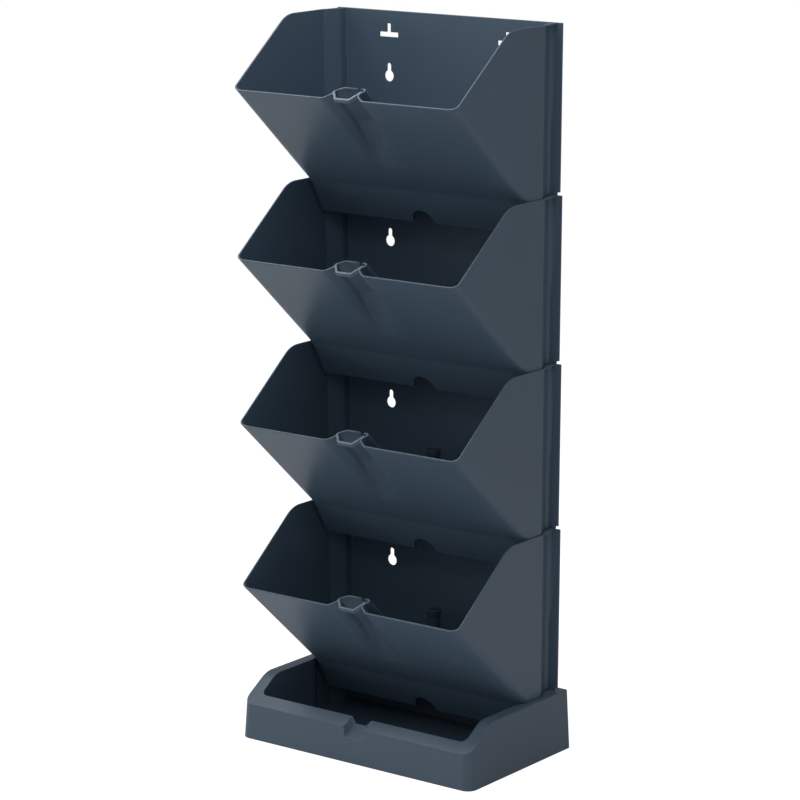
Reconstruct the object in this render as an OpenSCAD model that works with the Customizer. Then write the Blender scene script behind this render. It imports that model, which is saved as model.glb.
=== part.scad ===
// Stacking vertical planter: a base tray and four nested planting tiers.
// Each tier is a wide pocket with a slanted mouth, and its foot sits inside the tier below.
// X runs across and Y runs back, so the front faces minus Y. The base stands at height zero.

/* [Stack] */
// Height that each tier adds to the stack
tier_pitch = 175; // [170:0.5:185]
// Gap left under each seat
seat_gap = 0.3; // [0.2:0.05:0.4]
// Gap all round between a foot and the pocket that it sits in
nest_gap = 0.4; // [0.3:0.05:0.5]
// Gap behind a foot that stands in the tier below
foot_gap = 0.7; // [0.4:0.1:1.2]

/* [Tier] */
// Width of a tier at its top edge
tier_w = 285.6; // [270:0.1:290]
// Reach of the front rim from the back face
tier_depth = 178.5; // [165:0.5:190]
// Height of the front rim above the seat
rim_rise = 105.3; // [95:0.1:115]
// Slope of the mouth in degrees
mouth_angle = 38.1; // [34:0.1:40]
// Radius where the slanted mouth meets the flat top edge
mouth_r = 35; // [20:1:45]
// Lean of the side walls in degrees
side_draft = 0.787; // [0.4:0.001:1.2]
// Thickness of the tier's walls and floor
wall = 2; // [1.8:0.1:2.4]
// Reach of the knee, where the front wall turns down into the foot
knee_reach = 65.4; // [60:0.1:70]
// Reach of the foot's lower edge
foot_reach = 41.3; // [36:0.1:46]
// Depth of the foot below the seat
foot_h = 36.3; // [30:0.1:40]
// Depth of the floor's top face below the seat
floor_drop = 17.6; // [12:0.1:20]
// Corner radius at the front rim
rim_corner_r = 11; // [8:0.5:14]
// Corner radius at the knee
knee_corner_r = 15; // [10:0.5:18]
// Corner radius at the foot's lower edge
foot_corner_r = 8.5; // [6:0.5:12]
// Radius of the arched cut in the foot's front edge
arch_r = 14; // [8:0.5:15]

/* [Back corners] */
// Width of a corner recess at the top edge
recess_w = 8.8; // [7:0.1:12]
// Depth of the corner recesses from the back face
recess_depth = 30; // [24:0.5:34]
// Length of a recess's straight side, measured from the back face
recess_side_l = 12; // [8:0.5:18]
// Thickness of the flat flange behind each recess
flange_t = 2; // [1.6:0.1:2.4]
// How far a flange stands out past the side wall
flange_lap = 1.5; // [1:0.1:1.6]
// Width of the flange's foot
flange_foot_w = 7; // [4:0.1:7.5]
// Height of the notch beside the flange's foot
flange_notch_h = 2.6; // [2:0.1:5]
// Thickness of the hood that closes a recess
hood_t = 1.5; // [1.2:0.1:2]
// Drop of the hood below the top edge
hood_drop = 0.2; // [0:0.1:1.2]
// How far the hood's outer corner stands out past the recess's straight side
hood_lap = 3.5; // [2:0.1:6]

/* [Wall fixings] */
// Distance between the two fixing places on a back panel
fixing_spacing = 152; // [130:1:160]
// Diameter of a keyhole's head
keyhole_d = 12; // [10:0.5:13]
// Width of a keyhole's neck
keyhole_neck_w = 5.5; // [4.5:0.1:6]
// Length from the middle of the head to the end of the neck
keyhole_l = 13.5; // [11:0.1:16]
// Height of the middle of the head above the seat
keyhole_rise = 106.7; // [98:0.1:112]
// Width of the flat slot over a keyhole
slot_w = 24.5; // [20:0.5:28]
// Height of the slot
slot_h = 5; // [4.5:0.1:6]
// Width of the short stem over the slot
stem_w = 5; // [4.4:0.1:6]
// Height of the stem over the slot's upper edge
stem_h = 9; // [5:0.5:10]
// Height of the middle of the slot above the seat
slot_rise = 149.9; // [146:0.1:155]

/* [Tool rest] */
// Width of the groove in the front wall
groove_w = 48.8; // [44:0.1:52]
// Depth of the groove at the mouth
groove_depth = 16.5; // [14:0.1:18]
// Length of the groove at full depth down the front wall
groove_full_l = 50; // [40:1:60]
// Whole length of the groove down the front wall
groove_l = 118; // [105:1:122]
// Width of the tool ring's front bar
ring_bar_w = 19; // [16:0.5:20]
// Width of the tool ring across its widest part
ring_w = 34; // [30:0.5:35]
// Thickness of the ring's band
ring_t = 3; // [2.4:0.1:3.4]
// Height of the ring's band
ring_h = 4.5; // [3.5:0.1:6]
// Width of the slit behind the ring
slit_w = 5; // [3:0.1:6]
// Depth of the slit
slit_depth = 6; // [4:0.5:9]

/* [Overflow] */
// Distance of the overflow tube from the back face
tube_reach = 27.5; // [24:0.1:30]
// Outer diameter of the tube
tube_d = 13; // [12:0.1:14]
// Bore of the tube
tube_bore = 9; // [8:0.1:10]
// Height of the tube's cap over the floor
tube_rise = 88.2; // [75:0.1:100]
// Length of the tube below the floor's top face
tube_plug_l = 12; // [8:0.5:16]
// Diameter of the tube's stop flange
stop_d = 20; // [18:0.5:24]
// Thickness of the stop flange
stop_t = 2; // [1.5:0.1:3]
// Diameter of the cap
cap_d = 15; // [14.6:0.1:17]
// Height of the cap
cap_h = 7; // [6:0.1:9]
// Hole in the cap
cap_hole_d = 6; // [4.5:0.1:7]
// Depth of the cap's socket
cap_socket_l = 4.5; // [3.5:0.1:5]
// Gap all round between the cap's socket and the tube
cap_fit = 0.05; // [0.02:0.01:0.1]

/* [Base] */
// Width of the base at the ground
base_w = 303.6; // [296:0.1:312]
// Height of the base's flat rim
base_h = 63.6; // [60:0.1:70]
// Reach of the base's front from the tiers' back face
base_reach = 169.9; // [162:0.1:178]
// How far the base stands out behind the tiers
base_back = 8.1; // [6:0.1:12]
// Height of the base's front edge
base_front_h = 36.7; // [33:0.1:40]
// Slope of the base's front rim in degrees
base_angle = 33.8; // [30:0.1:38]
// Radius where the sloping rim meets the flat rim
base_rim_r = 30; // [15:1:40]
// Lean of the base's front and side walls in degrees
base_draft = 3; // [0.5:0.1:4]
// Corner radius at the base's front
base_corner_r = 11; // [8:0.5:14]
// Corner radius at the base's back
base_back_r = 2; // [1:0.5:4]
// Thickness of the base's walls and floor
base_wall = 2.5; // [2:0.1:3]
// Height of the tray's underside above the ground
tray_lift = 2; // [1.5:0.1:4]
// Width of the sloping rim at the front
front_rim_w = 14.9; // [12:0.1:18]
// Width of the rim at the side of the open trough
side_rim_w = 14; // [12:0.1:16]
// Length of the chamfer where the opening widens round the tier
widen_l = 9; // [6:0.5:12]
// Corner radius of the opening at the front
opening_r = 7; // [4:0.5:10]

/* [Spout] */
// Width of the spout at the base's front edge
spout_w = 28.2; // [24:0.1:32]
// Width of the spout's lip on the front face
spout_lip_w = 25; // [20:0.1:28]
// Height of the spout's lip
spout_lip_h = 25; // [22:0.1:28]
// Width of the spout at the inner edge of the rim
spout_inner_w = 25; // [20:0.1:28]
// Width of the spout's floor at the inner edge of the rim
spout_sill_w = 12; // [8:0.1:16]
// Height of the spout's floor at the inner edge of the rim
spout_sill_h = 39.6; // [37:0.1:42]

/* [Hidden] */

// How far a cutting solid runs past the face that it cuts
overrun = 1;
// Pieces of each quarter turn in a corner, and of the arc in a rim
corner_steps = 8;
rim_steps = 10;
$fn = 72;

// Colour of the moulded plastic
slate = "#4a5660";
slate_dark = "#2b343d";

// Place of the tiers' back face, so that the middle of the whole footprint is at zero
back_y = (tier_depth - base_back) / 2;

// Heights in the lowest tier
seat_z = base_h;
shoulder_z = seat_z + seat_gap;
top_z = seat_z + tier_pitch;
rim_z = seat_z + rim_rise;
foot_z = seat_z - foot_h;
floor_z = seat_z - floor_drop;

// Slopes of the front wall under and over the knee, and what a millimetre of wall takes of the reach
low_slope = (knee_reach - foot_reach) / (shoulder_z - foot_z);
high_slope = (tier_depth - knee_reach) / (rim_z - shoulder_z);
low_wall = sqrt(1 + low_slope * low_slope);
high_wall = sqrt(1 + high_slope * high_slope);

// The foot stands in from the pocket above it by the wall and the nesting gap
foot_inset = wall + foot_gap;
panel_x = tier_w / 2 - recess_w;
fixing_x = fixing_spacing / 2;

function half_w(z) = tier_w / 2 - (top_z - z) * tan(side_draft);

function front_reach(z, inset) = max(
  knee_reach - (shoulder_z - z) * low_slope - inset * low_wall,
  knee_reach + (z - shoulder_z) * high_slope - inset * high_wall
);

function knee_z(inset) = shoulder_z + inset * (high_wall - low_wall) / (high_slope - low_slope);

function corner_r(z, inset) = max(
  lookup(z, [[foot_z, foot_corner_r], [shoulder_z, knee_corner_r], [rim_z, rim_corner_r]]) - inset,
  wall
);

// A quarter turn round a centre, or the bare corner where the radius is zero
function quarter(x, y, r, turn) = r == 0
  ? [[x, y]]
  : [for (i = [0:corner_steps]) [x, y] + r * [cos(turn + 90 * i / corner_steps), sin(turn + 90 * i / corner_steps)]];

// A rectangle in plan with round front corners and round or bare back corners
function plan(w, front, back, r, back_r = 0) = concat(
  quarter(-w + r, -front + r, r, 180),
  quarter(w - r, -front + r, r, 270),
  quarter(w - back_r, back - back_r, back_r, 0),
  quarter(-w + back_r, back - back_r, back_r, 90)
);

function raised(points, z) = [for (p = points) [p.x, p.y, z]];

// Closes a stack of rings, each with as many points, that run anticlockwise seen from the last ring
module skin(rings) {
  count = len(rings[0]);
  last = (len(rings) - 1) * count;
  sides = [
    for (k = [0:len(rings) - 2], i = [0:count - 1], half = [0, 1])
      let (a = k * count + i, b = k * count + (i + 1) % count)
        half == 0 ? [a, a + count, b + count] : [a, b + count, b]
  ];
  bottom = [for (i = [0:count - 1]) i];
  top = [for (i = [0:count - 1]) last + count - 1 - i];
  polyhedron(points = [for (ring = rings, p = ring) p], faces = concat([bottom], sides, [top]));
}

// Side view of a rim that slopes up from the front and turns into a flat top
function rim_profile(front, front_h, top, angle, r, back, low) =
  let (
    corner_y = -front + (top - front_h) / tan(angle),
    centre = [corner_y + r * tan(angle / 2), top - r],
    far = front + overrun
  )
  concat(
    [[back, low], [back, top]],
    [for (i = [0:rim_steps]) centre + r * [cos(90 + angle * i / rim_steps), sin(90 + angle * i / rim_steps)]],
    [[-far, front_h - overrun * tan(angle)], [-far, low]]
  );

// Stretches a side view, drawn as reach and height, across the width
module across(w) {
  rotate([90, 0, 90])
    linear_extrude(height = w, center = true)
      children();
}

module both_sides() {
  children();
  mirror([1, 0, 0])
    children();
}

// Solid of the tier's outside, drawn in by an inset, between two heights
module tier_block(inset, low, high) {
  levels = concat([low], [for (z = [knee_z(inset), rim_z]) if (z > low && z < high) z], [high]);
  skin([
    for (z = levels)
      raised(plan(half_w(z) - inset, front_reach(z, inset), -inset, corner_r(z, inset)), z)
  ]);
}

// How far a recess's slanting part runs back for each millimetre that it runs in
recess_slope = (recess_depth - recess_side_l) / recess_w;

// Place of the slanting part at x, beside a side wall at half, drawn in by an inset
function slant_y(half, x, inset) =
  -recess_depth - inset * norm([1, recess_slope]) + recess_slope * (half - x);

// Plan of the column that a recess takes from a back corner
function recess_plan(half, inset) = let (x = half - recess_w - inset, wide = half + wall)
  [[x, slant_y(half, x, inset)], [wide, slant_y(half, wide, inset)], [wide, overrun], [x, overrun]];

// Columns at both back corners, beside the side walls that are found a lift higher up
module corner_columns(inset, low, high, lift = 0) {
  both_sides()
    skin([for (z = [low, high]) raised(recess_plan(half_w(z + lift), inset), z)]);
}

// Points across the groove, as shares of half its width and of its depth, from left to right
groove_points_shares = [[-1, 0], [-0.66, 0.4], [-0.61, 0.7], [-0.25, 1], [0.84, 1], [0.53, 0.52], [1, 0]];
// Places of the same points where the groove runs out
groove_end_shares = [[-1, 0], [-0.8, 0.4], [-0.66, 0.7], [-0.5, 1], [-0.28, 1], [0.36, 0.5], [1, 0]];
// Sections down the groove's last part: share of the way from full depth to the end, and share of the depth
groove_ramp_shares = [[0, 1], [0.18, 0.82], [0.5, 0.5], [0.82, 0.18], [1.03, -0.03]];
// How far each section has turned from the groove's own points to those of its end
groove_turn_shares = [0.1, 0.4, 0.85, 1, 1];

front_down = [0, tier_depth - knee_reach, shoulder_z - rim_z] / norm([tier_depth - knee_reach, shoulder_z - rim_z]);
mouth_back = [0, cos(mouth_angle), sin(mouth_angle)];
mouth_front = [0, -tier_depth, rim_z];

function mixed(a, b, share) = a + (b - a) * share;

// Corners of one section of the groove across the mouth: width and depth, open towards the front
function groove_section(depth_share, turn_share) = [
  for (i = [0:len(groove_points_shares) - 1])
    let (p = mixed(groove_points_shares[i], groove_end_shares[i], turn_share))
      [p.x * groove_w / 2, p.y * groove_depth * depth_share]
];

// Moves each corner of an open path outwards by a distance, with its two ends carried forwards
function grown(path, d) = let (
    full = concat([[path[0].x, -wall]], path, [[path[len(path) - 1].x, -wall]]),
    last = len(full) - 1
  )
  [
    for (i = [0:last])
      let (
        before = full[max(i, 1)] - full[max(i, 1) - 1],
        after = full[min(i + 1, last)] - full[min(i + 1, last) - 1],
        a = [-before.y, before.x] / norm(before),
        b = [-after.y, after.x] / norm(after)
      )
      full[i] + d * (a + b) / (1 + a * b)
  ];

// Places a section in space: along the front wall from the rim, then back across the mouth
function placed(section, along) = [
  for (i = [len(section) - 1:-1:0])
    mouth_front + front_down * along + [section[i].x, 0, 0] + mouth_back * section[i].y
];

// Space of the groove, swollen by an inset for the wall behind it
module groove_space(d) {
  ramp = groove_l - groove_full_l;
  sections = concat(
    [placed(grown(groove_section(1, 0), d), -ring_h - wall)],
    [
      for (i = [0:len(groove_ramp_shares) - 1])
        placed(
          grown(groove_section(groove_ramp_shares[i][1], groove_turn_shares[i]), d),
          groove_full_l + ramp * groove_ramp_shares[i][0]
        )
    ]
  );
  skin([for (i = [len(sections) - 1:-1:0]) sections[i]]);
}

// Ring across the mouth of the groove: depths of its band's outer points, from left to right, as shares of the groove's depth
ring_depth_shares = [0.7, 0.56, 0, 0, 0.66, 0.8];
ring_places = [-ring_w / 2, -ring_w / 2, -ring_bar_w / 2, ring_bar_w / 2, ring_w / 2, (ring_w + ring_t) / 2];
ring_outline = [for (i = [0:len(ring_places) - 1]) [ring_places[i], groove_depth * ring_depth_shares[i]]];

module ring_band() {
  inner = [
    for (i = [len(ring_outline) - 1:-1:0])
      let (
        last = len(ring_outline) - 1,
        before = ring_outline[max(i, 1)] - ring_outline[max(i, 1) - 1],
        after = ring_outline[min(i + 1, last)] - ring_outline[min(i + 1, last) - 1],
        a = [-before.y, before.x] / norm(before),
        b = [-after.y, after.x] / norm(after)
      )
      ring_outline[i] + ring_t * (a + b) / (1 + a * b)
  ];
  translate(mouth_front)
    rotate([mouth_angle, 0, 0])
      translate([0, 0, -ring_h])
        linear_extrude(height = ring_h)
          polygon(concat(ring_outline, inner));
}

// Slit through the groove's back wall, from the mouth down
module ring_slit() {
  translate(mouth_front)
    rotate([mouth_angle, 0, 0])
      translate([ring_bar_w / 2, groove_depth - wall, -slit_depth])
        cube([slit_w, wall * 3, slit_depth + overrun]);
}

// Room for plants: the block inside the walls, less what fills its back corners and its groove
module pocket() {
  step_z = shoulder_z + wall;
  difference() {
    tier_block(wall, floor_z, top_z + overrun * 2);
    translate([-tier_w / 2, -foot_inset - wall, floor_z - overrun])
      cube([tier_w, foot_inset + wall, step_z - floor_z + overrun]);
    corner_columns(wall, step_z - overrun, top_z + overrun * 3);
    corner_columns(foot_inset + wall, floor_z - overrun, step_z, tier_pitch);
    groove_space(wall);
  }
}

// Hollow under the floor, open downwards
module foot_hollow() {
  difference() {
    tier_block(wall, foot_z - overrun, floor_z - wall);
    translate([-tier_w / 2, -foot_inset - wall, foot_z - overrun * 2])
      cube([tier_w, foot_inset + wall, floor_z - foot_z + overrun]);
    corner_columns(foot_inset + wall, foot_z - overrun * 2, floor_z, tier_pitch);
  }
}

module keyhole() {
  translate([fixing_x, overrun, seat_z + keyhole_rise])
    rotate([90, 0, 0]) {
      cylinder(d = keyhole_d, h = wall + overrun * 2);
      translate([0, keyhole_l - keyhole_neck_w / 2, 0])
        cylinder(d = keyhole_neck_w, h = wall + overrun * 2);
      translate([-keyhole_neck_w / 2, 0, 0])
        cube([keyhole_neck_w, keyhole_l - keyhole_neck_w / 2, wall + overrun * 2]);
    }
}

module hanging_slot() {
  translate([fixing_x, 0, seat_z + slot_rise]) {
    translate([-slot_w / 2, -wall - overrun, -slot_h / 2])
      cube([slot_w, wall + overrun * 2, slot_h]);
    translate([-stem_w / 2, -wall - overrun, 0])
      cube([stem_w, wall + overrun * 2, slot_h / 2 + stem_h]);
  }
}

// Flat flange behind each back corner recess, with a narrow foot at its lower end
module flange() {
  notch_z = shoulder_z + flange_notch_h;
  inner_x = half_w(shoulder_z) - recess_w - wall;
  foot_x = half_w(shoulder_z) - recess_w + flange_foot_w;
  rotate([90, 0, 0])
    linear_extrude(height = flange_t)
      polygon([
        [inner_x, shoulder_z], [foot_x, shoulder_z], [foot_x, notch_z],
        [half_w(notch_z) + flange_lap, notch_z], [half_w(top_z) + flange_lap, top_z],
        [inner_x, top_z]
      ]);
}

// Lid over the back corner recess
module hood() {
  low_z = top_z - hood_drop - hood_t;
  side_x = half_w(low_z);
  inner_x = side_x - recess_w - wall;
  translate([0, 0, low_z])
    linear_extrude(height = hood_t)
      polygon([
        [side_x - wall / 2, -recess_depth - wall / 2], [side_x, -recess_depth],
        [panel_x + hood_lap, -flange_t / 2], [inner_x, -flange_t / 2], [inner_x, -recess_side_l]
      ]);
}

module tier(level) {
  color(slate)
    translate([0, back_y, level * tier_pitch]) {
      difference() {
        intersection() {
          tier_block(0, foot_z, top_z + overrun);
          across(tier_w + wall)
            polygon(rim_profile(tier_depth, rim_z, top_z, mouth_angle, mouth_r, overrun, foot_z - overrun));
        }
        pocket();
        foot_hollow();
        groove_space(0);
        translate([-tier_w / 2, -foot_inset, foot_z - overrun])
          cube([tier_w, foot_inset + overrun, shoulder_z - foot_z + overrun]);
        corner_columns(0, shoulder_z - overrun, top_z + overrun * 2);
        corner_columns(foot_inset, foot_z - overrun, shoulder_z, tier_pitch);
        both_sides() {
          keyhole();
          hanging_slot();
        }
        translate([0, -foot_reach / 2, foot_z])
          rotate([90, 0, 0])
            cylinder(r = arch_r, h = knee_reach - foot_reach / 2 + overrun);
        translate([0, -tube_reach, floor_z - wall - overrun])
          cylinder(d = tube_d + nest_gap * 2, h = wall + overrun * 2);
        ring_slit();
      }
      both_sides() {
        flange();
        hood();
      }
      ring_band();
    }
}

module overflow_tube(level) {
  low = floor_z - tube_plug_l;
  high = floor_z + tube_rise - cap_h + cap_socket_l - seat_gap;
  color(slate_dark)
    translate([0, back_y - tube_reach, level * tier_pitch])
      difference() {
        union() {
          translate([0, 0, low])
            cylinder(d = tube_d, h = high - low);
          translate([0, 0, floor_z + seat_gap])
            cylinder(d = stop_d, h = stop_t);
        }
        translate([0, 0, low - overrun])
          cylinder(d = tube_bore, h = high - low + overrun * 2);
      }
}

module tube_cap(level) {
  color(slate_dark)
    translate([0, back_y - tube_reach, level * tier_pitch + floor_z + tube_rise - cap_h])
      difference() {
        cylinder(d = cap_d, h = cap_h);
        translate([0, 0, -overrun])
          cylinder(d = tube_d + cap_fit * 2, h = cap_socket_l + overrun);
        cylinder(d = cap_hole_d, h = cap_h + overrun);
      }
}

// Plan of the base tray's opening: wide where the tier's foot goes in, narrower in front of it
function opening_half() = let (
    wide_x = half_w(seat_z) + nest_gap,
    trough_x = base_w / 2 - base_h * tan(base_draft) - side_rim_w,
    trough_y = -base_reach + front_rim_w,
    turn_y = -front_reach(seat_z, 0) + overrun
  )
  concat(
    quarter(trough_x - opening_r, trough_y + opening_r, opening_r, 270),
    [
      [trough_x, turn_y], [wide_x, turn_y + widen_l], [wide_x, slant_y(tier_w / 2, wide_x, wall)],
      [panel_x - wall, slant_y(tier_w / 2, panel_x - wall, wall)], [panel_x - wall, -wall]
    ]
  );

module opening_plan() {
  half = opening_half();
  polygon(concat(half, [for (i = [len(half) - 1:-1:0]) [-half[i].x, half[i].y]]));
}

// Outer solid of the base, drawn in by an inset, from one height to another
module base_block(inset, low, high) {
  skin([
    for (z = [low, high])
      let (lean = z * tan(base_draft) + inset)
        raised(
          plan(
            base_w / 2 - lean, base_reach - lean, base_back - inset,
            max(base_corner_r - inset, base_wall), max(base_back_r - inset, overrun / 2)
          ),
          z
        )
  ]);
}

module base_rim_side(drop) {
  translate([0, 0, -drop])
    across(base_w + overrun)
      polygon(rim_profile(base_reach, base_front_h, base_h, base_angle, base_rim_r, base_back + overrun, -base_h));
}

// Space of the spout, swollen by a wall: a sloping trough from the inner edge of the rim to the front face
module spout_space(d) {
  inner_y = base_reach - front_rim_w;
  run = base_reach - inner_y;
  function section(share) = let (
      top_h = mixed(base_front_h + run * tan(base_angle), base_front_h, share),
      sill_h = mixed(spout_sill_h, spout_lip_h, share),
      top_w = mixed(spout_inner_w, spout_w, share),
      sill_w = mixed(spout_sill_w, spout_lip_w, share),
      flare = (top_w - sill_w) / (top_h - sill_h)
    )
    [
      for (p = [
        [-sill_w / 2 - d, sill_h - d], [sill_w / 2 + d, sill_h - d],
        [top_w / 2 + d + flare * base_wall, top_h + base_wall * 2],
        [-top_w / 2 - d - flare * base_wall, top_h + base_wall * 2]
      ])
        [p.x, p.y, inner_y + run * share]
    ];
  spare_share = overrun / run;
  rotate([90, 0, 0])
    skin([section(-spare_share), section(1 + spare_share)]);
}

module base_tray() {
  color(slate)
    translate([0, back_y, 0])
      difference() {
        intersection() {
          base_block(0, 0, base_h + overrun);
          base_rim_side(0);
        }
        difference() {
          intersection() {
            base_block(base_wall, -overrun, base_h);
            base_rim_side(base_wall);
          }
          translate([0, 0, tray_lift])
            linear_extrude(height = base_h)
              offset(delta = base_wall)
                opening_plan();
          spout_space(base_wall);
        }
        translate([0, 0, tray_lift + base_wall])
          linear_extrude(height = base_h)
            opening_plan();
        spout_space(0);
      }
}

base_tray();
tier(0);  // tier_1
tier(1);  // tier_2
tier(2);  // tier_3
tier(3);  // tier_4
overflow_tube(0);  // overflow_tube_1
overflow_tube(1);  // overflow_tube_2
overflow_tube(2);  // overflow_tube_3
overflow_tube(3);  // overflow_tube_4
tube_cap(0);  // tube_cap_1
tube_cap(1);  // tube_cap_2
tube_cap(2);  // tube_cap_3
tube_cap(3);  // tube_cap_4
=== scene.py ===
"""Dressed model of a stacking vertical planter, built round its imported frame."""

import logging
import math
from collections.abc import Callable, Iterator, Sequence
from contextlib import contextmanager
from dataclasses import dataclass, replace
from enum import Enum

import bmesh
import bpy
from mathutils import Matrix, Vector


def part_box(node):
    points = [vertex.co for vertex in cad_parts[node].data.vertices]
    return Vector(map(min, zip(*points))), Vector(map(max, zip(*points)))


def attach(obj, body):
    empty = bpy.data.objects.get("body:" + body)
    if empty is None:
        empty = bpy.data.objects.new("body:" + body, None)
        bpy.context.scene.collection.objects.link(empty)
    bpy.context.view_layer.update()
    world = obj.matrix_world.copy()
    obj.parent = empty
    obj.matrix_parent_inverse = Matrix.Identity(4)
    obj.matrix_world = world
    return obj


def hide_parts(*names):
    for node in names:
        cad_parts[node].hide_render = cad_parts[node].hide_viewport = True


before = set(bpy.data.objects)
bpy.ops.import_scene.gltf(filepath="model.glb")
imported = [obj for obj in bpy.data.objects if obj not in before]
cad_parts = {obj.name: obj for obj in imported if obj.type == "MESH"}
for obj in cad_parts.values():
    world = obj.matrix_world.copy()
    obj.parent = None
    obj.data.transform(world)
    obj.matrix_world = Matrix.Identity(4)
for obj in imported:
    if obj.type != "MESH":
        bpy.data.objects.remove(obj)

LOG = logging.getLogger("planter")
# Share of the free side that an arc may take, and the smallest half turn, in radians, that gets an arc.
ARC_ROOM = 0.98
STRAIGHT = 1e-4
Flat = tuple[float, float]


class Joining(Enum):
    """How one solid is put together with another."""

    CUT = "DIFFERENCE"
    ADD = "UNION"


class Slot(Enum):
    """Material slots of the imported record."""

    TIER = "tier_plastic"
    BASE = "base_plastic"
    TUBE = "tube_plastic"


@dataclass(frozen=True)
class Corner:
    """A corner of an outline: its place, its radius and the pieces that its arc has."""

    x: float
    y: float
    radius: float = 0.0
    steps: int = 0


def mixed(a: float, b: float, share: float) -> float:
    """Value that lies a share of the way from a to b."""
    return a + (b - a) * share


def rounded(corners: Sequence[Corner], closed: bool = True) -> list[Flat]:
    """Turns corners into points, with an arc at each corner.

    Args:
        corners: The corners in order.
        closed: Whether the outline runs back to its first corner.

    Returns:
        The points, one more than its steps for each corner.
    """
    points: list[Flat] = []
    last = len(corners) - 1
    for i, corner in enumerate(corners):
        here = Vector((corner.x, corner.y))
        before = corners[i - 1] if closed or i > 0 else corner
        after = corners[(i + 1) % len(corners)] if closed or i < last else corner
        back, on = Vector((before.x, before.y)) - here, Vector((after.x, after.y)) - here
        if corner.radius == 0 or min(back.length, on.length) == 0:
            points += [(here.x, here.y)] * (corner.steps + 1)
            continue
        room = ARC_ROOM * min(
            side.length / (2 if other.radius else 1) for side, other in ((back, before), (on, after))
        )
        back.normalize()
        on.normalize()
        half_turn = (math.pi - math.acos(max(-1.0, min(1.0, back.dot(on))))) / 2
        if half_turn < STRAIGHT:
            points += [(here.x, here.y)] * (corner.steps + 1)
            continue
        tangent = min(corner.radius * math.tan(half_turn), room)
        radius = tangent / math.tan(half_turn)
        centre = here + (back + on).normalized() * (radius / math.cos(half_turn))
        start, end = here + back * tangent - centre, here + on * tangent - centre
        for k in range(corner.steps + 1):
            share = k / corner.steps
            spread = math.sin(2 * half_turn)
            a = math.sin(2 * half_turn * (1 - share)) / spread
            b = math.sin(2 * half_turn * share) / spread
            point = centre + start * a + end * b
            points.append((point.x, point.y))
    return points


def moved_aside(path: Sequence[Flat], distance: float, level_ends: bool = True) -> list[Flat]:
    """Moves an open path sideways.

    Args:
        path: The path's corners, from left to right.
        distance: How far it moves towards greater depth.
        level_ends: Whether the path runs on level past both its ends, and not straight on.

    Returns:
        The moved corners.
    """
    points = [Vector(p) for p in path]
    lines = [(b - a).normalized() for a, b in zip(points, points[1:])]
    level = Vector((1, 0))
    first, last = (level, level) if level_ends else (lines[0], lines[-1])
    moved = []
    for point, before, after in zip(points, [first, *lines], [*lines, last]):
        a, b = Vector((-before.y, before.x)), Vector((-after.y, after.x))
        moved.append(tuple(point + (a + b) * (distance / (1 + a.dot(b)))))
    return moved


@dataclass(frozen=True)
class Rim:
    """Side view of a rim: a slope from the front, a bend and a level top, with its angle in degrees."""

    HALVINGS = 30
    START_SHARE = -0.1

    front_y: float
    front_z: float
    top: float
    angle: float
    radius: float

    @property
    def level_y(self) -> float:
        """Place where the level top starts."""
        turn = math.radians(self.angle)
        return self.front_y + (self.top - self.front_z) / math.tan(turn) + self.radius * math.tan(turn / 2)

    def bends(self, steps: int) -> list[float]:
        """Places from front to back where the bend has a point."""
        turn = math.radians(self.angle)
        return [self.level_y - self.radius * math.sin(turn * (1 - k / steps)) for k in range(steps + 1)]

    def height(self, y: float) -> float:
        """Finds how high the rim is.

        Args:
            y: Place from front to back.

        Returns:
            The height there.
        """
        if y >= self.level_y:
            return self.top
        if y >= self.bends(1)[0]:
            return self.top - self.radius + math.sqrt(self.radius**2 - (self.level_y - y) ** 2)
        return self.front_z + (y - self.front_y) * math.tan(math.radians(self.angle))

    def trimmed(self, low: Sequence[Vector], high: Sequence[Vector]) -> list[Vector]:
        """Finds where the lines from one ring to the next meet the rim.

        Args:
            low: The ring under the rim.
            high: The ring over the rim.

        Returns:
            One point for each line.
        """
        points = []
        for a, b in zip(low, high):
            near, far = self.START_SHARE, 1.0
            for _ in range(self.HALVINGS):
                share = (near + far) / 2
                point = a.lerp(b, share)
                if point.z < self.height(point.y):
                    near = share
                else:
                    far = share
            points.append(a.lerp(b, (near + far) / 2))
        return points


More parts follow.
